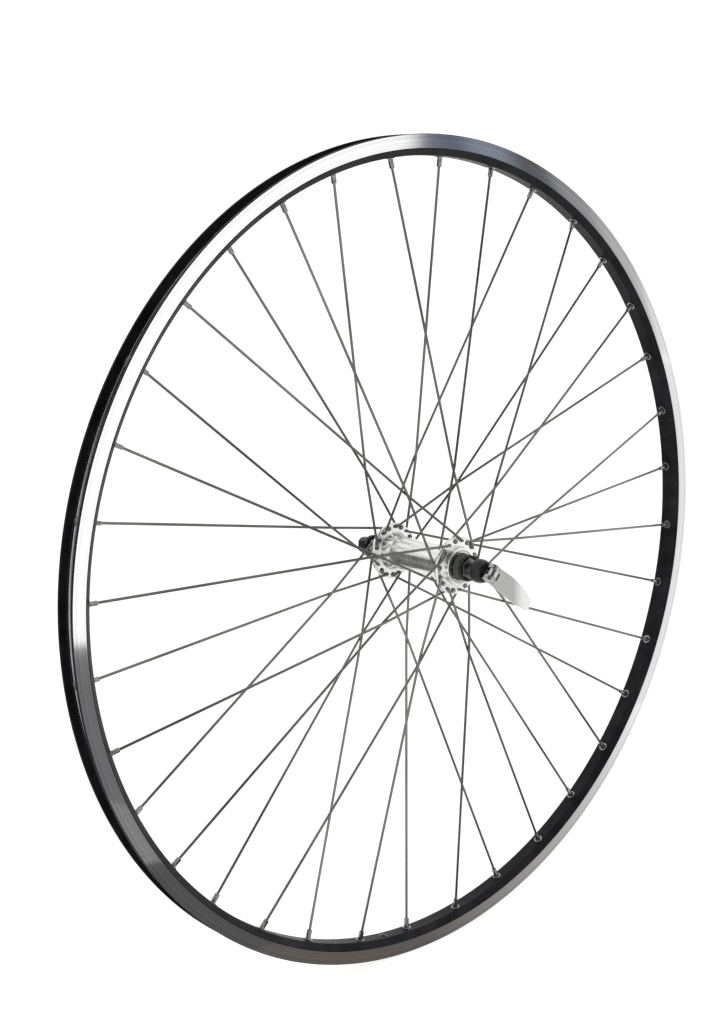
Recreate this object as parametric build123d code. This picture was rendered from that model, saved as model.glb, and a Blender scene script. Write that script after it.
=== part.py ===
from build123d import *
import os
from math import acos, atan2, cos, degrees, hypot, radians, sin, sqrt, tan

# Front bicycle wheel, 622 mm bead seat, 36 spokes, quick-release hub 100 mm over the locknuts.
# Millimetres. The origin is the wheel's centre, the axle lies along Y, Z is up,
# and the lever is on the near side, at -Y. Wheel angles run from +X towards +Z.

# Rim
rim_radius = 317.0
rim_width = 18.0
rim_depth = 15.3
brake_track_height = 10.6
inner_face_width = 10.4
lip_thickness = 2.2
flange_thickness = 1.6
hook_height = 1.6
bead_seat_depth = 6.0
bead_seat_width = 2.4
well_depth = 8.5
well_slope_width = 1.4
bed_thickness = 1.2
inner_wall_thickness = 1.4
side_wall_thickness = 1.5
access_hole_diameter = 8.4
access_hole_sides = 8
valve_hole_diameter = 6.5
valve_gap = 26

# Spokes, nipples and eyelets
spoke_count = 36
first_spoke_angle = 7.2
spoke_crosses = 3
spoke_diameter = 2.0
spoke_sides = 6
spoke_head_diameter = 3.8
spoke_head_thickness = 1.3
elbow_bend = 1.2
elbow_clearance = 0.5
nipple_stagger = 1.2
nipple_length = 9.0
nipple_width = 3.8
nipple_head_diameter = 6.0
nipple_head_height = 2.2
nipple_hole_clearance = 0.45
thread_clearance = 0.03
spoke_end_rise = 1.0
seat_clearance = 0.05
eyelet_diameter = 7.0
eyelet_thickness = 0.6

# Hub shell
flange_spacing = 70.0
hub_flange_diameter = 44.0
hub_flange_thickness = 3.2
hub_flange_chamfer = 0.8
spoke_circle_diameter = 38.0
spoke_hole_clearance = 0.2
barrel_diameter = 25.0
barrel_bore_diameter = 18.0
flare_diameter = 29.0
flare_length = 8.0
boss_diameter = 29.0
shell_length = 82.0
cup_diameter = 24.0
cup_seat_depth = 8.4

# Bearings
ball_diameter = 4.76
ball_count = 10
ball_circle_diameter = 15.6
ball_depth = 4.8
race_clearance = 0.05
cup_mouth_diameter = 20.8
cup_hole_diameter = 16.8
cup_recess = 0.4
cone_diameter = 14.8
cone_nose_diameter = 10.4
cone_nose_reach = 1.7
cone_reach = 4.5
cone_flats = 13.0
cone_flat_length = 3.0

# Axle, washers, locknuts and boots
axle_diameter = 9.0
axle_length = 109.0
washer_thickness = 1.2
washer_diameter = 14.0
locknut_height = 3.3
locknut_flats = 14.5
boot_diameter = 20.0
boot_gap = 0.3
boot_setback = 0.8
boot_groove_depth = 0.7
boot_groove_width = 1.2
boot_clearance = 0.05

# Quick release
rod_diameter = 5.0
rod_end_gap = 0.5
sliding_clearance = 0.1
near_clamp_gap = 3.5
housing_length = 8.5
housing_diameter = 18.0
housing_top_diameter = 15.2
housing_shoulder = 4.5
spring_recess_diameter = 12.4
spring_recess_depth = 3.0
spring_wire_diameter = 1.0
spring_wire_sides = 4
spring_turns = 3
spring_clearance = 0.3
spring_side_gap = 0.5
far_clamp_gap = 2.5
nut_length = 13.0
nut_flange_diameter = 17.0
nut_flange_thickness = 2.8
nut_shoulder_diameter = 13.6
nut_end_diameter = 10.8
nut_shoulder_height = 0.8
nut_flats = 10.0
nut_end_wall = 1.0
pivot_pin_diameter = 4.0
pivot_running_clearance = 0.05
eye_diameter = 8.0
eye_width = 5.4
cam_radius = 4.9
cam_offset = 1.2
cam_clearance = 0.4
fork_clearance = 0.2
eye_clearance = 1.0
lever_width = 12.6
lever_blade_width = 14.4
lever_tip_width = 9.2
lever_length = 51.0
lever_tip_round = 4.0
lever_thickness = 3.8
lever_tip_thickness = 2.1
lever_bow = 4.0
lever_drop = 3.0
lever_fall = 39.0

# Radii of the rim's steps
inner_face_radius = rim_radius - rim_depth
track_bottom_radius = rim_radius - brake_track_height
bead_seat_radius = rim_radius - bead_seat_depth
well_radius = rim_radius - well_depth
cavity_top_radius = well_radius - bed_thickness
cavity_floor_radius = inner_face_radius + inner_wall_thickness

# Spoke layout
spoke_pitch = 360 / spoke_count
hub_hole_turn = spoke_crosses * 2 * spoke_pitch
hub_hole_radius = spoke_circle_diameter / 2
flange_inner_face = (flange_spacing - hub_flange_thickness) / 2
flange_outer_face = (flange_spacing + hub_flange_thickness) / 2
elbow_height = elbow_bend + elbow_clearance
nipple_radius = nipple_width / 2
nipple_hole_radius = nipple_radius + nipple_hole_clearance
valve_angle = first_spoke_angle + (valve_gap - 0.5) * spoke_pitch

# Places along the axle, measured outwards from the wheel's centre
shell_end = shell_length / 2
cup_floor = shell_end - cup_seat_depth
ball_centre = shell_end - ball_depth
cone_nose_start = ball_centre - cone_nose_reach
cone_end = shell_end + cone_reach
washer_end = cone_end + washer_thickness
locknut_spacing = 2 * (washer_end + locknut_height)
locknut_face = locknut_spacing / 2
boot_end = locknut_face - boot_setback
axle_end = axle_length / 2
housing_start = axle_end + near_clamp_gap
housing_end = housing_start + housing_length
nut_start = axle_end + far_clamp_gap
nut_end = nut_start + nut_length
rod_end = nut_end - nut_end_wall - rod_end_gap
pivot_centre = housing_end + cam_clearance + cam_radius + cam_offset

# Fits along the axle
thread_radius = axle_diameter / 2 + thread_clearance
axle_bore_diameter = rod_diameter + 2 * sliding_clearance
spring_small_diameter = rod_diameter + spring_wire_diameter + 2 * spring_clearance
spring_large_diameter = spring_recess_diameter - spring_wire_diameter - 2 * spring_side_gap


def turned(shape, angle):
    """Carry a shape from wheel angle 0 to another wheel angle."""
    return Rot(0, -angle, 0) * shape


def lathe(points):
    """Revolve an outline of (radius, place along the axle) about the axle."""
    return revolve(make_face(Polyline(*points, close=True)), Axis.Y)


def mirrored_outline(half):
    """Close an outline with its own mirror image across the wheel's middle plane."""
    return half + [(radius, -place) for radius, place in reversed(half)]


def prism(start, direction, length, radius, sides, inscribed=False):
    """Extrude a regular polygon along a direction."""
    section = RegularPolygon(radius, sides, major_radius=not inscribed)
    return extrude(Plane(start, z_dir=direction) * section, length)


def radial_prism(start_radius, end_radius, place, radius, sides):
    """A polygonal plug that points outwards at wheel angle 0 and clears a circle of that radius."""
    start = (start_radius, place, 0)
    return prism(start, (1, 0, 0), end_radius - start_radius, radius, sides, inscribed=True)


# Each spoke leans one way or the other, and goes to one flange or the other, in a cycle of four.
def spoke_side(index):
    """The flange a spoke goes to: 1 is the far one, -1 the near one."""
    return 1 if index % 2 == 0 else -1


def spoke_lean(index):
    """Which way round the hub a spoke is pulled: 1 towards larger wheel angles, -1 towards smaller ones."""
    return -1 if index % 4 < 2 else 1


def elbow_point(side, lean):
    """Where a spoke of wheel angle 0 turns out of its hub hole towards the rim."""
    turn = radians(lean * hub_hole_turn)
    if lean > 0:
        place = flange_inner_face - elbow_height
    else:
        place = flange_outer_face + elbow_height
    return Vector(hub_hole_radius * cos(turn), side * place, hub_hole_radius * sin(turn))


def nipple_seat(side):
    """Where a spoke of wheel angle 0 passes the floor of the rim's cavity."""
    return Vector(cavity_floor_radius, side * nipple_stagger, 0)


def spoke_direction(side, lean):
    return (nipple_seat(side) - elbow_point(side, lean)).normalized()


def spoke_shape(side, lean):
    """One spoke: a head, a leg through the flange, an elbow and the long run into the nipple."""
    elbow = elbow_point(side, lean)
    run = spoke_direction(side, lean)
    out_of_hole = Vector(0, -side if lean > 0 else side, 0)
    head_face = elbow - out_of_hole * (elbow_height + hub_flange_thickness)
    bend_start = elbow - out_of_hole * elbow_bend
    bend_end = elbow + run * elbow_bend
    rim_end = nipple_seat(side) + run * spoke_end_rise
    path = Polyline(head_face, bend_start, bend_end, rim_end)
    section = Plane(head_face, z_dir=out_of_hole) * RegularPolygon(spoke_diameter / 2, spoke_sides)
    wire = sweep(section, path, transition=Transition.RIGHT)
    head = prism(head_face, -out_of_hole, spoke_head_thickness, spoke_head_diameter / 2, spoke_sides)
    return wire + head


def nipple_shape(side, lean):
    """One nipple in line with its spoke, its head lifted until the tilted rim of it clears the floor."""
    run = spoke_direction(side, lean)
    seat = nipple_seat(side)
    tilt = acos(run.X)
    head_start = nipple_head_diameter / 2 * tan(tilt) + seat_clearance
    tip = seat - run * nipple_length
    top = head_start + nipple_head_height
    shank = prism(tip, run, nipple_length + head_start, nipple_radius, spoke_sides)
    head = prism(seat + run * head_start, run, nipple_head_height, nipple_head_diameter / 2, spoke_sides)
    bore_radius = spoke_diameter / 2 + thread_clearance
    bore = prism(tip, run, nipple_length + top, bore_radius, spoke_sides, inscribed=True)
    return shank + head - bore


def eyelet_shape(side):
    """A flat ring under the nipple hole, on the rim's inner face."""
    top = inner_face_radius - seat_clearance
    place = side * nipple_stagger
    ring = radial_prism(top - eyelet_thickness, top, place, eyelet_diameter / 2, spoke_sides)
    hole = radial_prism(top - eyelet_thickness, top, place, nipple_hole_radius, spoke_sides)
    return ring - hole


def rim_shape():
    """A double-wall hoop: hooked lips, bead seats, a drop well, and a hollow under the bed."""
    half_width = rim_width / 2
    flange_inside = half_width - flange_thickness
    seat_inside = flange_inside - bead_seat_width
    outer = [
        (inner_face_radius, inner_face_width / 2),
        (track_bottom_radius, half_width),
        (rim_radius, half_width),
        (rim_radius, half_width - lip_thickness),
        (rim_radius - hook_height, flange_inside),
        (bead_seat_radius, flange_inside),
        (bead_seat_radius, seat_inside),
        (well_radius, seat_inside - well_slope_width),
    ]
    lower_wall_run = half_width - inner_face_width / 2
    lower_wall_slope = lower_wall_run / (track_bottom_radius - inner_face_radius)
    floor_half = inner_face_width / 2 + inner_wall_thickness * lower_wall_slope - side_wall_thickness
    cavity_half = half_width - side_wall_thickness
    cavity = [
        (cavity_floor_radius, floor_half),
        (cavity_top_radius, cavity_half),
    ]
    rim = lathe(mirrored_outline(outer)) - lathe(mirrored_outline(cavity))
    cuts = []
    for index in range(spoke_count):
        place = spoke_side(index) * nipple_stagger
        angle = first_spoke_angle + index * spoke_pitch
        access = radial_prism(
            cavity_top_radius - bed_thickness,
            bead_seat_radius,
            place,
            access_hole_diameter / 2,
            access_hole_sides,
        )
        hole = radial_prism(
            inner_face_radius - inner_wall_thickness,
            cavity_floor_radius + inner_wall_thickness,
            place,
            nipple_hole_radius,
            spoke_sides,
        )
        cuts += [turned(access, angle), turned(hole, angle)]
    valve = Cylinder(valve_hole_diameter / 2, 2 * rim_depth, rotation=(0, 90, 0))
    cuts.append(turned(Pos(rim_radius - rim_depth / 2, 0, 0) * valve, valve_angle))
    return rim - cuts


def hub_shell_shape():
    """One forging: barrel, two drilled flanges and the bosses that hold the bearing cups."""
    flange_radius = hub_flange_diameter / 2
    half = [
        (barrel_diameter / 2, flange_inner_face - flare_length),
        (flare_diameter / 2, flange_inner_face),
        (flange_radius - hub_flange_chamfer, flange_inner_face),
        (flange_radius, flange_inner_face + hub_flange_chamfer),
        (flange_radius, flange_outer_face - hub_flange_chamfer),
        (flange_radius - hub_flange_chamfer, flange_outer_face),
        (boss_diameter / 2, flange_outer_face),
        (boss_diameter / 2, shell_end),
        (cup_diameter / 2, shell_end),
        (cup_diameter / 2, cup_floor),
        (barrel_bore_diameter / 2, cup_floor),
    ]
    shell = lathe(mirrored_outline(half))
    hole_radius = spoke_diameter / 2 + spoke_hole_clearance
    cuts = []
    for index in range(spoke_count):
        side = spoke_side(index)
        start = (hub_hole_radius, side * flange_spacing / 2 - hub_flange_thickness, 0)
        hole = prism(start, (0, 1, 0), 2 * hub_flange_thickness, hole_radius, spoke_sides, inscribed=True)
        angle = first_spoke_angle + index * spoke_pitch + spoke_lean(index) * hub_hole_turn
        cuts.append(turned(hole, angle))
    return shell - cuts


def race_offset():
    """How far along the axle a 45 degree race lies from the ball's centre, where it reaches that radius."""
    return (ball_diameter / 2 + race_clearance) / sin(radians(45))


def cup_shape():
    """A pressed bearing cup with a 45 degree race at the bottom of its mouth."""
    ball_circle_radius = ball_circle_diameter / 2
    race_shift = ball_centre - race_offset() - ball_circle_radius
    mouth_radius = cup_mouth_diameter / 2
    hole_radius = cup_hole_diameter / 2
    return lathe([
        (cup_diameter / 2, cup_floor),
        (cup_diameter / 2, shell_end - cup_recess),
        (mouth_radius, shell_end - cup_recess),
        (mouth_radius, mouth_radius + race_shift),
        (hole_radius, hole_radius + race_shift),
        (hole_radius, cup_floor),
    ])


def cone_shape():
    """A threaded cone: nose, 45 degree race and a body with two wrench flats."""
    race_shift = ball_centre + race_offset() - ball_circle_diameter / 2
    nose_radius = cone_nose_diameter / 2
    body_radius = cone_diameter / 2
    body = lathe([
        (thread_radius, cone_nose_start),
        (nose_radius, cone_nose_start),
        (nose_radius, nose_radius + race_shift),
        (body_radius, body_radius + race_shift),
        (body_radius, cone_end),
        (thread_radius, cone_end),
    ])
    flat = Box(cone_diameter, cone_flat_length, cone_diameter)
    flat_place = cone_end - cone_flat_length / 2
    for way in (1, -1):
        body -= Pos(way * (cone_flats + cone_diameter) / 2, flat_place, 0) * flat
    return body


def ball_shape():
    """A bearing ball with few faces: a cube cut back at its edges until all 24 corners lie on the ball."""
    edge = ball_diameter / hypot(1, 1, 1 + sqrt(2))
    cube = Box(edge * (1 + sqrt(2)), edge * (1 + sqrt(2)), edge * (1 + sqrt(2)))
    return chamfer(cube.edges(), edge / sqrt(2))


def ball_set_shape():
    """A full ring of loose balls."""
    ball = ball_shape()
    ring = []
    for index in range(ball_count):
        seated = Pos(ball_circle_diameter / 2, ball_centre, 0) * ball
        ring.append(turned(seated, index * 360 / ball_count))
    return Compound(ring)


def boot_shape():
    """A rubber boot over the cone and the locknut, with two grooves round it."""
    radius = boot_diameter / 2
    start = shell_end + boot_gap
    cone_fit = cone_diameter / 2 + boot_clearance
    nut_fit = locknut_flats / 2 / cos(radians(30)) + boot_clearance
    outline = [(cone_fit, start), (radius, start)]
    for share in (1, 2):
        middle = start + share * (boot_end - start) / 3
        outline += [
            (radius, middle - boot_groove_width / 2),
            (radius - boot_groove_depth, middle),
            (radius, middle + boot_groove_width / 2),
        ]
    outline += [(radius, boot_end), (nut_fit, boot_end), (nut_fit, cone_end), (cone_fit, cone_end)]
    return lathe(outline)


def lock_washer_shape():
    return lathe([
        (thread_radius, cone_end),
        (washer_diameter / 2, cone_end),
        (washer_diameter / 2, washer_end),
        (thread_radius, washer_end),
    ])


def locknut_shape():
    nut = prism((0, washer_end, 0), (0, 1, 0), locknut_height, locknut_flats / 2, 6, inscribed=True)
    bore = Pos(0, washer_end, 0) * Cylinder(thread_radius, 2 * locknut_height, rotation=(90, 0, 0))
    return nut - bore


def axle_shape():
    outside = axle_diameter / 2
    bore = axle_bore_diameter / 2
    return lathe([(bore, -axle_end), (outside, -axle_end), (outside, axle_end), (bore, axle_end)])


def spring_shape(recess_floor):
    """A conical spring: small turns against the axle's end, large ones in the recess."""
    wire_radius = spring_wire_diameter / 2
    start = axle_end + spring_clearance + wire_radius
    height = recess_floor - spring_clearance - wire_radius - start
    small = spring_small_diameter / 2
    widening = (spring_large_diameter - spring_small_diameter) / 2
    path = Helix(
        pitch=height / spring_turns,
        height=height,
        radius=small,
        center=(0, start, 0),
        direction=(0, 1, 0),
        cone_angle=degrees(atan2(widening, height)),
    )
    section = Plane(path @ 0, z_dir=path % 0) * RegularPolygon(wire_radius, spring_wire_sides)
    return sweep(section, path, is_frenet=True)


def housing_shape():
    """The black cam housing: a clamping face, a spring recess and a flat seat for the cam."""
    bore = rod_diameter / 2 + sliding_clearance
    recess = spring_recess_diameter / 2
    recess_floor = housing_start + spring_recess_depth
    return lathe([
        (recess, housing_start),
        (housing_diameter / 2, housing_start),
        (housing_diameter / 2, housing_start + housing_shoulder),
        (housing_top_diameter / 2, housing_end),
        (bore, housing_end),
        (bore, recess_floor),
        (recess, recess_floor),
    ])


def adjusting_nut_shape():
    """The black adjusting nut: a clamping flange, a spring recess and a tapered grip with two flats."""
    bore = rod_diameter / 2 + pivot_running_clearance
    recess = spring_recess_diameter / 2
    recess_floor = nut_start + spring_recess_depth
    flange_end = nut_start + nut_flange_thickness
    nut = lathe([
        (recess, nut_start),
        (nut_flange_diameter / 2, nut_start),
        (nut_flange_diameter / 2, flange_end),
        (nut_shoulder_diameter / 2, flange_end + nut_shoulder_height),
        (nut_end_diameter / 2, nut_end),
        (0, nut_end),
        (0, nut_end - nut_end_wall),
        (bore, nut_end - nut_end_wall),
        (bore, recess_floor),
        (recess, recess_floor),
    ])
    grip_start = flange_end + nut_shoulder_height
    grip_length = nut_end - grip_start
    flat = Box(nut_shoulder_diameter, grip_length, nut_shoulder_diameter)
    for way in (1, -1):
        nut -= Pos((nut_flats + nut_shoulder_diameter) / 2 * way, grip_start + grip_length / 2, 0) * flat
    return nut


# The lever is built flat, with its pivot at the origin, its blade along X, its pin along Y
# and Z pointing away from the wheel. This plane carries it to its closed place.
lever_plane = Plane(
    (0, -pivot_centre, 0),
    x_dir=(cos(radians(lever_fall)), 0, -sin(radians(lever_fall))),
    z_dir=(0, -1, 0),
)


def cross_cylinder(radius, width):
    """A cylinder along the lever's pin, centred on the pivot."""
    return Cylinder(radius, width, rotation=(90, 0, 0))


def rod_shape():
    """The skewer rod, with the eye that the lever's pin runs through."""
    length = rod_end + pivot_centre
    bar = Cylinder(rod_diameter / 2, length, rotation=(90, 0, 0))
    rod = Pos(0, (rod_end - pivot_centre) / 2, 0) * bar
    eye = lever_plane * cross_cylinder(eye_diameter / 2, eye_width)
    hole_radius = pivot_pin_diameter / 2 + pivot_running_clearance
    pin_hole = lever_plane * cross_cylinder(hole_radius, 2 * eye_width)
    return rod + eye - pin_hole


def lever_shape():
    """One casting: two cam cheeks that straddle the eye, and a bowed leaf-shaped blade."""
    middle = lever_length / 2
    root_low = (0, -lever_drop)
    root_high = (0, lever_thickness - lever_drop)
    bow_low = (middle, lever_bow - lever_drop)
    bow_high = (middle, lever_bow - lever_drop + lever_thickness)
    tip_low = (lever_length, -lever_tip_thickness / 2)
    tip_high = (lever_length, lever_tip_thickness / 2)
    side_view = make_face([
        ThreePointArc(root_low, bow_low, tip_low),
        Line(tip_low, tip_high),
        ThreePointArc(tip_high, bow_high, root_high),
        Line(root_high, root_low),
    ])
    side_block = extrude(Plane.XZ * side_view, lever_blade_width, both=True)
    root_right = (0, -lever_width / 2)
    root_left = (0, lever_width / 2)
    tip_right = (lever_length - lever_tip_round, -lever_tip_width / 2)
    tip_left = (lever_length - lever_tip_round, lever_tip_width / 2)
    outline = make_face([
        Line(root_left, root_right),
        ThreePointArc(root_right, (middle, -lever_blade_width / 2), tip_right),
        ThreePointArc(tip_right, (lever_length, 0), tip_left),
        ThreePointArc(tip_left, (middle, lever_blade_width / 2), root_left),
    ])
    blade = side_block & extrude(outline, lever_length, both=True)
    cheeks = Pos(0, 0, -cam_offset) * cross_cylinder(cam_radius, lever_width)
    slot_reach = eye_diameter / 2 + eye_clearance
    slot_width = eye_width + 2 * fork_clearance
    slot = Pos(slot_reach - lever_length / 2, 0, 0) * Box(lever_length, slot_width, lever_length)
    pin_hole = cross_cylinder(pivot_pin_diameter / 2, 2 * lever_width)
    return lever_plane * (blade + cheeks - slot - pin_hole)


def pivot_pin_shape():
    return lever_plane * cross_cylinder(pivot_pin_diameter / 2, lever_width)


def write(name, shape):
    export_step(shape, f"parts/{name}.step")


def write_both_sides(name, shape):
    """Write a piece of the far end and its mirror image at the near end."""
    write(f"far_{name}", shape)
    write(f"near_{name}", mirror(shape, Plane.XZ))


os.makedirs("parts", exist_ok=True)

write("rim", rim_shape())
write("hub_shell", hub_shell_shape())

spokes = {}
nipples = []
eyelets = []
for number in range(spoke_count):
    flange = spoke_side(number)
    way_round = spoke_lean(number)
    rim_angle = first_spoke_angle + number * spoke_pitch
    if (flange, way_round) not in spokes:
        spokes[flange, way_round] = spoke_shape(flange, way_round)
    write(f"spoke_{number + 1:02d}", turned(spokes[flange, way_round], rim_angle))
    nipples.append(turned(nipple_shape(flange, way_round), rim_angle))
    eyelets.append(turned(eyelet_shape(flange), rim_angle))
write("nipples", Compound(nipples))
write("eyelets", Compound(eyelets))

write_both_sides("bearing_cup", cup_shape())
write_both_sides("bearing_balls", ball_set_shape())
write_both_sides("cone", cone_shape())
write_both_sides("boot", boot_shape())
write_both_sides("lock_washer", lock_washer_shape())
write_both_sides("locknut", locknut_shape())
write("axle", axle_shape())

write("far_spring", spring_shape(nut_start + spring_recess_depth))
write("near_spring", mirror(spring_shape(housing_start + spring_recess_depth), Plane.XZ))
write("cam_housing", mirror(housing_shape(), Plane.XZ))
write("adjusting_nut", adjusting_nut_shape())
write("skewer_rod", rod_shape())
write("lever", lever_shape())
write("pivot_pin", pivot_pin_shape())
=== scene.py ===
from math import acos, cos, pi, radians, sin, tan

import bmesh
import bpy
from mathutils import Matrix, Vector


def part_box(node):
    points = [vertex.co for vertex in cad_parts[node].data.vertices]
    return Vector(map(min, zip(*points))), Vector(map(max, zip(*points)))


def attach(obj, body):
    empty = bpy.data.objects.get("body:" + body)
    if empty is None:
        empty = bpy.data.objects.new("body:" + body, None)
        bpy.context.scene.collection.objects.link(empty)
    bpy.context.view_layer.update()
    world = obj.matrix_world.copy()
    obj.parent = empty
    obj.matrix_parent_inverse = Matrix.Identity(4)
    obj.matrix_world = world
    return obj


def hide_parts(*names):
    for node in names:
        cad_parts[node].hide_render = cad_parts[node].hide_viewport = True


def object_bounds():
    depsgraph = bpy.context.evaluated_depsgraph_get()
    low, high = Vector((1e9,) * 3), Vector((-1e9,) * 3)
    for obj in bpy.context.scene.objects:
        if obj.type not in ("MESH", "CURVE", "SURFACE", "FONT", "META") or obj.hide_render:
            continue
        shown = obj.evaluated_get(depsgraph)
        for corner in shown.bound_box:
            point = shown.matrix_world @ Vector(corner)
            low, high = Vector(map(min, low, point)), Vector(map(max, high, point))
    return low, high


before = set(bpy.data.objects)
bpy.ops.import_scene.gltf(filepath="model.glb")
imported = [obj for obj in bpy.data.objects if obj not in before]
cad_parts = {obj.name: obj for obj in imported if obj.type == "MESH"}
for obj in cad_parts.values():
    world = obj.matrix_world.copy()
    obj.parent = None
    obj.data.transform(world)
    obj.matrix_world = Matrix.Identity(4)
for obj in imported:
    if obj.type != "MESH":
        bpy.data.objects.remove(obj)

# A front bicycle wheel. Metres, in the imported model's frame: the axle lies along Y, the lever is at -Y,
# Z is up, and wheel angles run from +X towards +Z.

cad_low, cad_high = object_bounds()
scene = bpy.context.scene
mm = 0.001

# Rim, read from the frame where it gives the size
rim_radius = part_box("rim")[1].x
rim_half_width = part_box("rim")[1].y
rim_depth = 15.3 * mm
track_height = 10.6 * mm
inner_face_half = 5.2 * mm
lip_thickness = 2.2 * mm
flange_thickness = 1.6 * mm
hook_height = 1.6 * mm
seat_depth = 6.0 * mm
seat_width = 2.4 * mm
well_depth = 8.5 * mm
well_slope = 1.4 * mm
bed_thickness = 1.2 * mm
inner_wall = 1.4 * mm
side_wall = 1.5 * mm
access_hole_radius = 4.2 * mm
countersink = 0.8 * mm
nipple_hole_radius = 2.35 * mm
valve_hole_radius = 3.25 * mm
rim_round = 0.5 * mm
bed_edge = 0.3 * mm
flat_edge = 0.01 * mm
rim_segments = 432
hole_segments = 24

# Spokes, nipples and eyelets
spoke_count = 36
spoke_crosses = 3
spoke_pitch = radians(360 / spoke_count)
first_spoke = radians(7.2)
hub_hole_turn = 2 * spoke_crosses * spoke_pitch
valve_pitches = 25.5
valve_angle = first_spoke + valve_pitches * spoke_pitch
spoke_radius = 1.0 * mm
spoke_sides = 12
spoke_head_radius = 1.9 * mm
spoke_head_height = 1.3 * mm
elbow_bend = 1.2 * mm
elbow_height = 1.7 * mm
elbow_steps = 6
crossing_gap = 0.1 * mm
nipple_stagger = 1.2 * mm
nipple_length = 9.0 * mm
nipple_radius = 1.9 * mm
nipple_head_radius = 3.0 * mm
nipple_head_height = 2.2 * mm
nipple_edge = 0.3 * mm
nipple_square_end = 4.2 * mm
nipple_round_start = 3.6 * mm
nipple_flat_share = 0.86
nipple_corner_share = 1.06
nipple_sides = 24
seat_clearance = 0.05 * mm
spoke_end_rise = 1.0 * mm
eyelet_radius = 3.5 * mm
eyelet_height = 0.6 * mm
eyelet_roll = 0.28 * mm

# Hub
flange_place = 35.0 * mm
flange_half = 1.6 * mm
flange_chamfer = 0.8 * mm
flange_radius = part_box("hub_shell")[1].x
hub_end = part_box("hub_shell")[1].y
spoke_circle = 19.0 * mm
spoke_hole_radius = 1.2 * mm
barrel_radius = 12.5 * mm
flare_radius = 14.5 * mm
flare_length = 8.0 * mm
boss_radius = 14.5 * mm
cup_radius = 12.0 * mm
cup_depth = 8.4 * mm
cup_floor = hub_end - cup_depth
barrel_bore = 9.0 * mm
hub_round = 0.7 * mm
hub_segments = 160

# Softening of the small pieces
weld_distance = 0.002 * mm
flat_angle = radians(1)
bevel_angle = radians(30)
bevel_steps = 2

# The most of an edge that one rounded corner takes, and the range that most of a noise lies in
corner_share = 0.45
noise_low = 0.3
noise_high = 0.7

# Spoke head, from its crown to its foot: shares of the head's height and of its radius
head_profile = [(1.0, 0.35), (0.9, 0.72), (0.62, 0.95), (0.3, 1.0), (0.05, 0.86)]

inner_face_radius = rim_radius - rim_depth
track_bottom = rim_radius - track_height
seat_radius = rim_radius - seat_depth
well_radius = rim_radius - well_depth
cavity_top = well_radius - bed_thickness
cavity_floor = inner_face_radius + inner_wall


def wheel_turn(angle):
    """The turn that carries a point from wheel angle 0 to another wheel angle."""
    return Matrix.Rotation(-angle, 4, "Y")


def rounded(outline, cut, steps=3):
    """Round each corner of a closed outline, starting at most this far from the corner."""
    points = [Vector(point) for point in outline]
    smooth = []
    for index, corner in enumerate(points):
        way_in = points[index - 1] - corner
        way_out = points[(index + 1) % len(points)] - corner
        start = corner + way_in.normalized() * min(cut, corner_share * way_in.length)
        end = corner + way_out.normalized() * min(cut, corner_share * way_out.length)
        for step in range(steps + 1):
            share = step / steps
            smooth.append(start.lerp(corner, share).lerp(corner.lerp(end, share), share))
    return smooth


def mirrored(half):
    """Close a half outline with its mirror image across the wheel's middle plane."""
    return half + [(radius, -place) for radius, place in reversed(half)]


def lathe(mesh, outline, segments, hollow=False, stand=Matrix()):
    """Turn an outline of (radius, place) about the axle and set it on a stand; a hollow faces inwards."""
    points = [Vector(point) for point in outline]
    following_points = points[1:] + points[:1]
    area = sum(this.x * after.y - after.x * this.y for this, after in zip(points, following_points))
    if (area < 0) != hollow:
        points.reverse()
    rings = []
    for step in range(segments):
        turn = 2 * pi * step / segments
        ring = [Vector((point.x * cos(turn), point.y, point.x * sin(turn))) for point in points]
        rings.append([mesh.verts.new(stand @ point) for point in ring])
    for ring, following in zip(rings, rings[1:] + rings[:1]):
        for low in range(len(points)):
            high = (low + 1) % len(points)
            mesh.faces.new((ring[low], ring[high], following[high], following[low]))


def join_rings(mesh, rings):
    """Join a row of rings into a solid with flat ends."""
    for ring, following in zip(rings, rings[1:]):
        for step in range(len(ring)):
            right = (step + 1) % len(ring)
            mesh.faces.new((ring[step], ring[right], following[right], following[step]))
    mesh.faces.new(reversed(rings[0]))
    mesh.faces.new(rings[-1])


def tube(mesh, path, radii, sides):
    """A closed round wire along a path, with a radius at each of its points."""
    side = (path[1] - path[0]).orthogonal().normalized()
    rings = []
    for index, centre in enumerate(path):
        before = path[max(index - 1, 0)]
        after = path[min(index + 1, len(path) - 1)]
        along = (after - before).normalized()
        side = (side - along * side.dot(along)).normalized()
        other = along.cross(side)
        ring = []
        for step in range(sides):
            turn = 2 * pi * step / sides
            ring.append(mesh.verts.new(centre + (side * cos(turn) + other * sin(turn)) * radii[index]))
        rings.append(ring)
    join_rings(mesh, rings)


def new_object(name, mesh, materials):
    """Put a finished mesh into the scene as a piece of its own."""
    data = bpy.data.meshes.new(name)
    mesh.to_mesh(data)
    mesh.free()
    for material in materials:
        data.materials.append(material)
    piece = bpy.data.objects.new(name, data)
    scene.collection.objects.link(piece)
    return piece


def work_in_modifiers(piece):
    """Give the piece the mesh that its modifiers make of it."""
    graph = bpy.context.evaluated_depsgraph_get()
    finished = bpy.data.meshes.new_from_object(piece.evaluated_get(graph))
    piece.modifiers.clear()
    piece.data = finished


def shade(piece, sharp_angle=35):
    """Smooth shading that leaves the flat faces beside small roundings flat."""
    piece.data.shade_smooth()
    piece.data.set_sharp_from_angle(angle=radians(sharp_angle))
    flats = piece.modifiers.new("flats", "WEIGHTED_NORMAL")
    flats.keep_sharp = True
    work_in_modifiers(piece)


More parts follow.
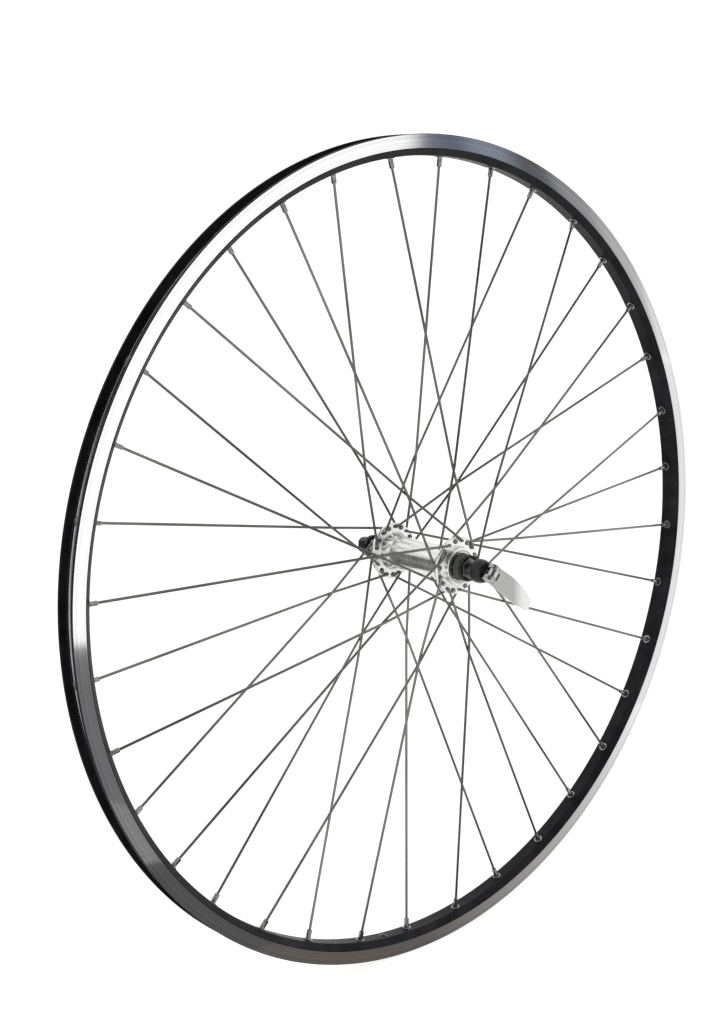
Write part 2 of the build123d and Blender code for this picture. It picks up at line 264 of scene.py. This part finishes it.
def drill(piece, cutters, material):
    """Cut the holes out of a piece; the walls of the holes take the given material."""
    tool = new_object("hole_cutters", cutters, [material])
    cut = piece.modifiers.new("holes", "BOOLEAN")
    cut.operation = "DIFFERENCE"
    cut.solver = "EXACT"
    cut.material_mode = "TRANSFER"
    cut.object = tool
    work_in_modifiers(piece)
    bpy.data.objects.remove(tool)


def dress(piece, body, nodes):
    """Make a finished piece stand for its CAD nodes."""
    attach(piece, body)
    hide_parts(*nodes)


# Materials


class Surface:
    """A material with a principled shader and short ways to set its sockets and add nodes to it."""

    def __init__(self, name, metallic=0.0):
        self.material = bpy.data.materials.new(name)
        self.material.use_nodes = True
        self.nodes = self.material.node_tree.nodes
        self.links = self.material.node_tree.links
        self.shader = self.nodes["Principled BSDF"]
        self.place = self.nodes.new("ShaderNodeTexCoord").outputs["Object"]
        self.set("Metallic", metallic)

    def set(self, socket, value):
        self.shader.inputs[socket].default_value = value

    def link(self, source, target):
        self.links.new(source, target)

    def noise(self, scale, detail=4, place=None):
        node = self.nodes.new("ShaderNodeTexNoise")
        node.inputs["Scale"].default_value = scale
        node.inputs["Detail"].default_value = detail
        self.link(place or self.place, node.inputs["Vector"])
        return node.outputs["Fac"]

    def axle_distance(self):
        """The distance from the axle, as a texture place, so that noise on it makes turned rings."""
        flat = self.nodes.new("ShaderNodeVectorMath")
        flat.operation = "MULTIPLY"
        flat.inputs[1].default_value = (1, 0, 1)
        self.link(self.place, flat.inputs[0])
        length = self.nodes.new("ShaderNodeVectorMath")
        length.operation = "LENGTH"
        self.link(flat.outputs[0], length.inputs[0])
        joined = self.nodes.new("ShaderNodeCombineXYZ")
        self.link(length.outputs["Value"], joined.inputs["X"])
        return joined.outputs[0]

    def between(self, axis, start, end, either_way=False):
        """Runs from 0 to 1 between two places along an axis, or along both its halves."""
        split = self.nodes.new("ShaderNodeSeparateXYZ")
        self.link(self.place, split.inputs[0])
        reach = self.nodes.new("ShaderNodeMapRange")
        reach.inputs["From Min"].default_value = start
        reach.inputs["From Max"].default_value = end
        source = split.outputs[axis]
        if either_way:
            distance = self.nodes.new("ShaderNodeMath")
            distance.operation = "ABSOLUTE"
            self.link(source, distance.inputs[0])
            source = distance.outputs[0]
        self.link(source, reach.inputs["Value"])
        return reach.outputs["Result"]

    def ramp(self, source, low, high, start=noise_low, end=noise_high):
        """A colour that runs from low to high as the source runs from start to end."""
        node = self.nodes.new("ShaderNodeValToRGB")
        node.color_ramp.elements[0].position = start
        node.color_ramp.elements[1].position = end
        node.color_ramp.elements[0].color = (*low, 1)
        node.color_ramp.elements[1].color = (*high, 1)
        self.link(source, node.inputs["Fac"])
        return node.outputs["Color"]

    def spread(self, source, low, high):
        """A number that runs from low to high over the middle of a noise."""
        node = self.nodes.new("ShaderNodeMapRange")
        node.inputs["From Min"].default_value = noise_low
        node.inputs["From Max"].default_value = noise_high
        node.inputs["To Min"].default_value = low
        node.inputs["To Max"].default_value = high
        self.link(source, node.inputs["Value"])
        return node.outputs["Result"]

    def color(self, source, low, high, start=noise_low, end=noise_high):
        self.link(self.ramp(source, low, high, start, end), self.shader.inputs["Base Color"])

    def roughness(self, source, low, high):
        self.link(self.spread(source, low, high), self.shader.inputs["Roughness"])

    def bump(self, source, height, strength=1.0):
        node = self.nodes.new("ShaderNodeBump")
        node.inputs["Distance"].default_value = height
        node.inputs["Strength"].default_value = strength
        self.link(source, node.inputs["Height"])
        self.link(node.outputs["Normal"], self.shader.inputs["Normal"])


def black_anodised():
    surface = Surface("black_anodised", 0.1)
    surface.set("Specular IOR Level", 0.09)
    surface.color(surface.noise(60), (0.004, 0.004, 0.005), (0.014, 0.014, 0.016))
    surface.roughness(surface.noise(420), 0.34, 0.46)
    surface.bump(surface.noise(3000, 2), 0.02 * mm, 0.4)
    return surface.material


def anodised_bed_painted_sheen():
    """The channel under the tyre: a lighter grey copy of the black anodised finish, a painted sheen of light
    along the channel.
    """
    surface = Surface("anodised_bed_painted_sheen", 1.0)
    surface.color(surface.noise(90), (0.28, 0.28, 0.29), (0.40, 0.40, 0.41))
    surface.roughness(surface.noise(600), 0.2, 0.3)
    surface.bump(surface.noise(2500, 2), 0.01 * mm, 0.3)
    return surface.material


def machined_track():
    """Bright side walls with fine rings left by turning."""
    surface = Surface("machined_track", 1.0)
    rings = surface.noise(2600, 3, surface.axle_distance())
    streaks = surface.noise(450, 2, surface.axle_distance())
    surface.color(streaks, (0.72, 0.72, 0.73), (0.97, 0.97, 0.96))
    surface.roughness(rings, 0.04, 0.09)
    surface.bump(rings, 0.01 * mm, 0.2)
    return surface.material


def bare_edge():
    """Bright metal where a drill went through the black finish."""
    surface = Surface("bare_edge", 1.0)
    surface.color(surface.noise(900), (0.62, 0.62, 0.62), (0.86, 0.86, 0.85))
    surface.roughness(surface.noise(1500), 0.5, 0.7)
    surface.bump(surface.noise(4000, 2), 0.01 * mm, 0.3)
    return surface.material


def spoke_steel():
    surface = Surface("spoke_steel", 1.0)
    surface.color(surface.noise(7), (0.06, 0.06, 0.06), (0.24, 0.24, 0.23))
    surface.roughness(surface.noise(800), 0.24, 0.38)
    surface.bump(surface.noise(5000, 2), 0.01 * mm, 0.3)
    return surface.material


def nickel_plate():
    surface = Surface("nickel_plate", 1.0)
    surface.color(surface.noise(400), (0.24, 0.24, 0.23), (0.40, 0.40, 0.39))
    surface.roughness(surface.noise(1200), 0.14, 0.3)
    surface.bump(surface.noise(4000, 2), 0.005 * mm, 0.2)
    return surface.material


def nipple_plate():
    surface = Surface("nipple_plate", 1.0)
    surface.color(surface.noise(300), (0.13, 0.13, 0.13), (0.30, 0.30, 0.29))
    surface.roughness(surface.noise(1200), 0.1, 0.24)
    surface.bump(surface.noise(4000, 2), 0.005 * mm, 0.2)
    return surface.material


def polished_alloy():
    surface = Surface("polished_alloy", 1.0)
    surface.color(surface.noise(70), (0.72, 0.72, 0.70), (0.84, 0.84, 0.82))
    surface.roughness(surface.noise(120), 0.24, 0.29)
    surface.bump(surface.noise(300, 1), 0.002 * mm, 0.1)
    return surface.material


def satin_alloy_painted_shade():
    """Satin alloy with painted light and shade: grey painted shade along the lever's leaf, running to a
    painted highlight at its tip.
    """
    surface = Surface("satin_alloy_painted_shade", 1.0)
    # Painted shade: grey at the pivot end of the leaf, painted lighter towards the tip
    painted_shade_along_leaf = surface.between("X", 15 * mm, 33 * mm)
    surface.color(painted_shade_along_leaf, (0.40, 0.40, 0.39), (0.82, 0.82, 0.81), 0.15, 0.8)
    surface.roughness(surface.noise(900), 0.26, 0.4)
    surface.bump(surface.noise(2500, 2), 0.02 * mm, 0.3)
    return surface.material


def black_alloy():
    surface = Surface("black_alloy", 0.4)
    surface.color(surface.noise(200), (0.006, 0.006, 0.007), (0.018, 0.018, 0.019))
    surface.roughness(surface.noise(900), 0.28, 0.42)
    surface.bump(surface.noise(2500, 2), 0.02 * mm, 0.4)
    return surface.material


def boot_rubber():
    """Dark greenish grey, with a black outer end."""
    surface = Surface("boot_rubber")
    outer_end = surface.between("Y", 46.0 * mm, 46.6 * mm, either_way=True)
    surface.color(outer_end, (0.045, 0.051, 0.046), (0.008, 0.008, 0.008), 0, 1)
    surface.roughness(surface.noise(900), 0.5, 0.68)
    surface.bump(surface.noise(2500, 3), 0.03 * mm, 0.5)
    return surface.material


def dark_steel():
    surface = Surface("dark_steel", 1.0)
    surface.color(surface.noise(220), (0.14, 0.14, 0.14), (0.24, 0.24, 0.24))
    surface.roughness(surface.noise(900), 0.28, 0.42)
    surface.bump(surface.noise(2500, 2), 0.01 * mm, 0.3)
    return surface.material


def bright_steel():
    surface = Surface("bright_steel", 1.0)
    surface.color(surface.noise(220), (0.46, 0.46, 0.46), (0.60, 0.60, 0.60))
    surface.roughness(surface.noise(900), 0.18, 0.3)
    surface.bump(surface.noise(2500, 2), 0.005 * mm, 0.2)
    return surface.material


black = black_anodised()
painted_bed_sheen = anodised_bed_painted_sheen()
track = machined_track()
bare = bare_edge()
steel = spoke_steel()
nickel = nickel_plate()
nipple_finish = nipple_plate()
polished = polished_alloy()
satin_painted_shade = satin_alloy_painted_shade()
black_cast = black_alloy()
rubber = boot_rubber()
dark = dark_steel()
bright = bright_steel()


# Spoke layout, as the frame has it


def spoke_side(index):
    """1 for a spoke of the far flange, -1 for one of the near flange."""
    return 1 if index % 2 == 0 else -1


def spoke_lean(index):
    """Which way round the hub a spoke is pulled."""
    return -1 if index % 4 < 2 else 1


def elbow_point(side, lean):
    """Where a spoke of wheel angle 0 turns out of its hole in the flange."""
    turn = lean * hub_hole_turn
    place = flange_place - lean * (flange_half + elbow_height)
    return Vector((spoke_circle * cos(turn), side * place, spoke_circle * sin(turn)))


def nipple_seat(side):
    """Where a spoke of wheel angle 0 passes the floor of the rim's cavity."""
    return Vector((cavity_floor, side * nipple_stagger, 0))


def crossing_point(side, lean):
    """Where a spoke of wheel angle 0 is laced behind or before the last spoke that it crosses."""
    reach = cavity_floor * spoke_circle * sin(hub_hole_turn)
    radius = reach / (spoke_circle * sin(hub_hole_turn - spoke_pitch) + cavity_floor * sin(spoke_pitch))
    whole_run = cavity_floor - spoke_circle * cos(hub_hole_turn)
    share = (cavity_floor - radius * cos(spoke_pitch)) / whole_run
    middle = nipple_stagger + share * (flange_place - nipple_stagger)
    place = middle + lean * (spoke_radius + crossing_gap / 2)
    return Vector((radius * cos(spoke_pitch), side * place, lean * radius * sin(spoke_pitch)))


def spoke_angle(index):
    return first_spoke + index * spoke_pitch


def plug(mesh, start, end, radius, turn):
    """A round cutter between two points of wheel angle 0, carried round the wheel."""
    tube(mesh, [turn @ Vector(start), turn @ Vector(end)], [radius, radius], hole_segments)


# Rim


def rim_outline():
    flange_inside = rim_half_width - flange_thickness
    seat_inside = flange_inside - seat_width
    return mirrored([
        (inner_face_radius, inner_face_half),
        (track_bottom, rim_half_width),
        (rim_radius, rim_half_width),
        (rim_radius, rim_half_width - lip_thickness),
        (rim_radius - hook_height, flange_inside),
        (seat_radius, flange_inside),
        (seat_radius, seat_inside),
        (well_radius, seat_inside - well_slope),
    ])


def cavity_outline():
    slope = (rim_half_width - inner_face_half) / (track_bottom - inner_face_radius)
    floor_half = inner_face_half + inner_wall * slope - side_wall
    return mirrored([(cavity_floor, floor_half), (cavity_top, rim_half_width - side_wall)])


def make_rim():
    mesh = bmesh.new()
    lathe(mesh, rounded(rim_outline(), rim_round), rim_segments)
    lathe(mesh, cavity_outline(), rim_segments, hollow=True)
    rim = new_object("rim_hoop", mesh, [black, track])
    wall_start = inner_face_radius - inner_wall
    wall_end = cavity_floor + inner_wall
    bed_start = cavity_top - bed_thickness
    bed_end = seat_radius + seat_width
    steps = [bed_start, well_radius - countersink, well_radius, bed_end]
    wide = access_hole_radius + countersink
    access_radii = [access_hole_radius, access_hole_radius, wide, wide]
    cutters = bmesh.new()
    for index in range(spoke_count):
        turn = wheel_turn(spoke_angle(index))
        place = spoke_side(index) * nipple_stagger
        access = [turn @ Vector((step, place, 0)) for step in steps]
        tube(cutters, access, access_radii, hole_segments)
        plug(cutters, (wall_start, place, 0), (wall_end, place, 0), nipple_hole_radius, turn)
    valve_start = (inner_face_radius - rim_depth, 0, 0)
    valve_end = (rim_radius + rim_depth, 0, 0)
    plug(cutters, valve_start, valve_end, valve_hole_radius, wheel_turn(valve_angle))
    drill(rim, cutters, bare)
    rim.data.materials.append(painted_bed_sheen)
    finishes = rim.data.materials
    black_index = finishes.find(black.name)
    track_index = finishes.find(track.name)
    painted_sheen_index = finishes.find(painted_bed_sheen.name)
    for face in rim.data.polygons:
        radius = Vector((face.center.x, face.center.z)).length
        place = abs(face.center.y)
        if place > rim_half_width - flat_edge and radius > track_bottom:
            face.material_index = track_index
        # The bed between the flanges takes the lighter grey copy of the black finish: a painted sheen on the
        # channel
        at_bed_radius = well_radius - bed_edge < radius < seat_radius + bed_edge
        between_flanges = place < rim_half_width - flange_thickness - bed_edge
        if at_bed_radius and between_flanges and face.material_index == black_index:
            face.material_index = painted_sheen_index
    shade(rim)
    dress(rim, "wheel", ["rim"])


# Spokes, nipples and eyelets


def make_spoke(index):
    side = spoke_side(index)
    lean = spoke_lean(index)
    elbow = elbow_point(side, lean)
    crossing = crossing_point(side, lean)
    out_of_hole = Vector((0, -side * lean, 0))
    head_face = elbow - out_of_hole * (elbow_height + 2 * flange_half)
    path = []
    radii = []
    for height, share in head_profile:
        path.append(head_face - out_of_hole * spoke_head_height * height)
        radii.append(spoke_head_radius * share)
    path.append(head_face)
    radii.append(spoke_radius)
    bend_start = elbow - out_of_hole * elbow_bend
    bend_end = elbow + (crossing - elbow).normalized() * elbow_bend
    for step in range(elbow_steps + 1):
        share = step / elbow_steps
        path.append(bend_start.lerp(elbow, share).lerp(elbow.lerp(bend_end, share), share))
        radii.append(spoke_radius)
    run = (nipple_seat(side) - crossing).normalized()
    path += [crossing, nipple_seat(side) + run * spoke_end_rise]
    radii += [spoke_radius, spoke_radius]
    turn = wheel_turn(spoke_angle(index))
    mesh = bmesh.new()
    tube(mesh, [turn @ point for point in path], radii, spoke_sides)
    name = f"spoke_{index + 1:02d}"
    spoke = new_object(f"{name}_wire", mesh, [steel])
    shade(spoke)
    dress(spoke, "wheel", [name])


def nipple_ring(turn, radius, squareness):
    """A point of a nipple's section, which runs from round to square with rounded corners."""
    flat = max(abs(cos(turn)), abs(sin(turn)))
    square_reach = min(nipple_flat_share / flat, nipple_corner_share)
    reach = radius * (1 - squareness + squareness * square_reach)
    return reach * cos(turn), reach * sin(turn)


def add_nipple(mesh, index):
    side = spoke_side(index)
    lean = spoke_lean(index)
    seat = nipple_seat(side)
    run = (seat - crossing_point(side, lean)).normalized()
    lift = nipple_head_radius * tan(acos(run.x)) + seat_clearance
    # height along the spoke, radius, squareness
    rings = [
        (-nipple_length, 0.58 * nipple_radius, 0.0),
        (-nipple_length, 0.80 * nipple_radius, 0.5),
        (-nipple_length + nipple_edge, 0.93 * nipple_radius, 1.0),
        (-nipple_square_end, 0.93 * nipple_radius, 1.0),
        (-nipple_round_start, nipple_radius, 0.0),
        (lift, nipple_radius, 0.0),
        (lift, 0.97 * nipple_head_radius, 0.0),
        (lift + nipple_edge, nipple_head_radius, 0.0),
        (lift + 0.6 * nipple_head_height, nipple_head_radius, 0.0),
        (lift + 0.9 * nipple_head_height, 0.72 * nipple_head_radius, 0.0),
        (lift + nipple_head_height, 0.40 * nipple_head_radius, 0.0),
    ]
    tilt = run.to_track_quat("Z", "Y").to_matrix().to_4x4()
    stand = wheel_turn(spoke_angle(index)) @ Matrix.Translation(seat) @ tilt
    made = []
    for height, radius, squareness in rings:
        ring = []
        for step in range(nipple_sides):
            x, y = nipple_ring(2 * pi * step / nipple_sides, radius, squareness)
            ring.append(mesh.verts.new(stand @ Vector((x, y, height))))
        made.append(ring)
    join_rings(mesh, made)


def make_nipples():
    mesh = bmesh.new()
    for index in range(spoke_count):
        add_nipple(mesh, index)
    nipples = new_object("nipple_set", mesh, [nipple_finish])
    shade(nipples)
    dress(nipples, "wheel", ["nipples"])


def make_eyelets():
    """Flat rings with rolled edges, on the rim's inner face."""
    mesh = bmesh.new()
    top = inner_face_radius - seat_clearance
    section = rounded(
        [
            (nipple_hole_radius, 0),
            (eyelet_radius, 0),
            (eyelet_radius, eyelet_height),
            (nipple_hole_radius, eyelet_height),
        ],
        eyelet_roll,
    )
    point_inwards = Matrix.Rotation(radians(90), 4, "Z")
    for index in range(spoke_count):
        place = Matrix.Translation((top, spoke_side(index) * nipple_stagger, 0))
        lathe(mesh, section, hole_segments, stand=wheel_turn(spoke_angle(index)) @ place @ point_inwards)
    eyelets = new_object("eyelet_set", mesh, [nickel])
    shade(eyelets)
    dress(eyelets, "wheel", ["eyelets"])


# Hub


def make_hub_shell():
    inner = flange_place - flange_half
    outer = flange_place + flange_half
    outline = mirrored([
        (barrel_radius, inner - flare_length),
        (flare_radius, inner),
        (flange_radius - flange_chamfer, inner),
        (flange_radius, inner + flange_chamfer),
        (flange_radius, outer - flange_chamfer),
        (flange_radius - flange_chamfer, outer),
        (boss_radius, outer),
        (boss_radius, hub_end),
        (cup_radius, hub_end),
        (cup_radius, cup_floor),
        (barrel_bore, cup_floor),
    ])
    mesh = bmesh.new()
    lathe(mesh, rounded(outline, hub_round), hub_segments)
    shell = new_object("hub_body", mesh, [polished])
    cutters = bmesh.new()
    for index in range(spoke_count):
        side = spoke_side(index)
        turn = wheel_turn(spoke_angle(index) + spoke_lean(index) * hub_hole_turn)
        start = (spoke_circle, side * (flange_place - 2 * flange_half), 0)
        end = (spoke_circle, side * (flange_place + 2 * flange_half), 0)
        plug(cutters, start, end, spoke_hole_radius, turn)
    drill(shell, cutters, polished)
    shade(shell)
    dress(shell, "wheel", ["hub_shell"])


# Small turned and cast pieces: their CAD forms with softened edges


def softened(node, name, body, material, edge):
    """A copy of a node's form with its edges rounded."""
    mesh = bmesh.new()
    mesh.from_mesh(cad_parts[node].data)
    bmesh.ops.remove_doubles(mesh, verts=mesh.verts, dist=weld_distance)
    bmesh.ops.dissolve_limit(mesh, angle_limit=flat_angle, verts=mesh.verts, edges=mesh.edges)
    for face in mesh.faces:
        face.material_index = 0
    piece = new_object(name, mesh, [material])
    soften = piece.modifiers.new("edges", "BEVEL")
    soften.width = edge
    soften.segments = bevel_steps
    soften.limit_method = "ANGLE"
    soften.angle_limit = bevel_angle
    work_in_modifiers(piece)
    shade(piece, sharp_angle=40)
    dress(piece, body, [node])


make_rim()
for number in range(spoke_count):
    make_spoke(number)
make_nipples()
make_eyelets()
make_hub_shell()
for end in ("near", "far"):
    softened(f"{end}_boot", f"{end}_boot_cover", "axle_set", rubber, 0.25 * mm)
    softened(f"{end}_locknut", f"{end}_lock_hex", "axle_set", dark, 0.3 * mm)
softened("axle", "axle_tube", "axle_set", dark, 0.25 * mm)
softened("cam_housing", "clamp_seat", "clamp_housing", black_cast, 0.4 * mm)
softened("adjusting_nut", "clamp_nut_body", "clamp_nut", black_cast, 0.4 * mm)
# The lever's finish carries painted shade along its leaf and a painted highlight at its tip
softened("lever", "lever_arm", "cam_lever", satin_painted_shade, 0.5 * mm)
softened("pivot_pin", "lever_pin", "cam_lever", bright, 0.2 * mm)

# Solids that show little keep their CAD form and take a finish
hidden_finishes = {"skewer_rod": bright}
for end in ("near", "far"):
    for inner_piece in ("spring", "bearing_cup", "bearing_balls", "cone"):
        hidden_finishes[f"{end}_{inner_piece}"] = bright
    hidden_finishes[f"{end}_lock_washer"] = dark
for node, finish in hidden_finishes.items():
    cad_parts[node].data.materials.clear()
    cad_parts[node].data.materials.append(finish)

# Stage, light and camera

camera_place = Vector((-0.820774, -0.84957, 0.267538))
camera_look = Vector((0.653651, 0.731848, -0.192715))
camera_lens = 55.318
floor_gap = 0.2 * mm
floor_size = 40.0
floor_glow = 0.85
studio_white = 1.15
wall_distance = 4.9
wall_heights = (-0.30, 0.90)
green_tone = (0.05, 0.056, 0.05)

# Cards that only shiny surfaces see. The brake track mirrors the strips on the floor in front and the cards
# on the wall, the spokes mirror the room card, and the hub's barrel mirrors the green cards behind the wheel.
# Strips: name, line, half width, colour
floor_strips = [
    ("front_dark_card", [(0.25, -0.95), (0.05, -0.57), (-0.02, -0.43)], 0.07, (0.16, 0.16, 0.165)),
    ("front_grey_card", [(-0.02, -0.43), (-0.075, -0.29)], 0.06, (0.24, 0.24, 0.24)),
    ("near_dark_card", [(-0.075, -0.29), (-0.10, -0.18), (-0.097, -0.09)], 0.06, (0.09, 0.09, 0.09)),
    ("pale_floor_card", [(0.62, -0.28), (1.0, -0.55), (4.0, -2.79)], 0.16, (0.88, 0.88, 0.88)),
    ("green_floor_card", [(-0.05, 0.33), (-0.43, 0.60), (-1.07, 1.22)], 0.2, green_tone),
]

# Standing cards: name, distance, azimuths in degrees, heights, colour
standing_cards = [
    ("bright_wall_card", wall_distance, (-36.3, -33.0), wall_heights, (0.84, 0.84, 0.84)),
    ("pale_wall_card", wall_distance, (-38.6, -36.3), wall_heights, (0.48, 0.48, 0.48)),
    ("grey_wall_card", wall_distance, (-40.6, -38.6), wall_heights, (0.30, 0.30, 0.31)),
    ("dark_wall_card", wall_distance, (-42.4, -40.6), wall_heights, (0.09, 0.095, 0.105)),
    ("blue_wall_card", wall_distance, (-44.4, -42.4), wall_heights, (0.24, 0.28, 0.35)),
    ("dark_blue_card", wall_distance, (-46.6, -44.4), wall_heights, (0.10, 0.115, 0.16)),
    ("room_card", 2.6, (-165.0, -80.0), (0.60, 4.0), (0.05, 0.05, 0.05)),
    ("green_wall_card", 1.6, (100.0, 150.0), (-0.30, 0.30), green_tone),
]

# The strip under the wheel, which fades from brown to white along X
brown_line = [(-0.13, -0.04), (0.18, -0.04), (0.62, -0.28)]
brown_half_width = 0.055
brown_tone = (0.125, 0.112, 0.10)


def make_floor():
    """A white sheet under the wheel, lit so evenly that it runs into the background."""
    mesh = bmesh.new()
    bmesh.ops.create_grid(mesh, x_segments=1, y_segments=1, size=floor_size)
    surface = Surface("pale_floor")
    surface.color(surface.noise(3), (0.28, 0.28, 0.28), (0.32, 0.32, 0.32))
    surface.set("Specular IOR Level", 0)
    surface.set("Emission Color", (1, 1, 0.99, 1))
    surface.set("Emission Strength", floor_glow)
    floor = new_object("floor", mesh, [surface.material])
    floor.location.z = cad_low.z - floor_gap


def make_card(name, corners, color):
    """A sheet of studio card that only shiny surfaces see."""
    mesh = bmesh.new()
    mesh.faces.new([mesh.verts.new(corner) for corner in corners])
    surface = Surface(name)
    surface.set("Base Color", (0, 0, 0, 1))
    surface.set("Specular IOR Level", 0)
    surface.set("Emission Color", (*color, 1))
    surface.set("Emission Strength", 1)
    card = new_object(name, mesh, [surface.material])
    card.visible_camera = False
    card.visible_diffuse = False
    card.visible_shadow = False
    return surface


def floor_strip(name, line, half_width, color):
    """A strip of card on the floor, along a line of (x, y) points."""
    height = cad_low.z - floor_gap / 2
    points = [Vector((x, y, height)) for x, y in line]
    left = []
    right = []
    for index, point in enumerate(points):
        before = points[max(index - 1, 0)]
        after = points[min(index + 1, len(points) - 1)]
        along = (after - before).normalized()
        across = Vector((-along.y, along.x, 0)) * half_width
        left.append(point + across)
        right.append(point - across)
    return make_card(name, left + right[::-1], color)


def standing_card(name, distance, azimuths, heights, color):
    """An upright card between two compass angles, counted from +X towards +Y."""
    turns = [radians(angle) for angle in azimuths]
    foot = [Vector((distance * cos(turn), distance * sin(turn), 0)) for turn in turns]
    low, high = [Vector((0, 0, height)) for height in heights]
    make_card(name, [foot[0] + low, foot[1] + low, foot[1] + high, foot[0] + high], color)


make_floor()
for strip in floor_strips:
    floor_strip(*strip)
for card in standing_cards:
    standing_card(*card)
brown_card = floor_strip("brown_card", brown_line, brown_half_width, brown_tone)
along_card = brown_card.between("X", 0, brown_line[-1][0])
fading = brown_card.ramp(along_card, brown_tone, (1, 1, 1), 0, 1)
brown_card.link(fading, brown_card.shader.inputs["Emission Color"])

world = bpy.data.worlds.new("studio")
scene.world = world
world.use_nodes = True
world.node_tree.nodes["Background"].inputs["Color"].default_value = (1, 1, 1, 1)
world.node_tree.nodes["Background"].inputs["Strength"].default_value = studio_white

lens = bpy.data.cameras.new("camera")
lens.lens = camera_lens
lens.sensor_width = 36
lens.clip_start = 0.05
lens.clip_end = 60
camera = bpy.data.objects.new("camera", lens)
camera.location = camera_place
camera.rotation_mode = "QUATERNION"
camera.rotation_quaternion = camera_look.to_track_quat("-Z", "Y")
scene.collection.objects.link(camera)
scene.camera = camera
scene.view_settings.view_transform = "Standard"
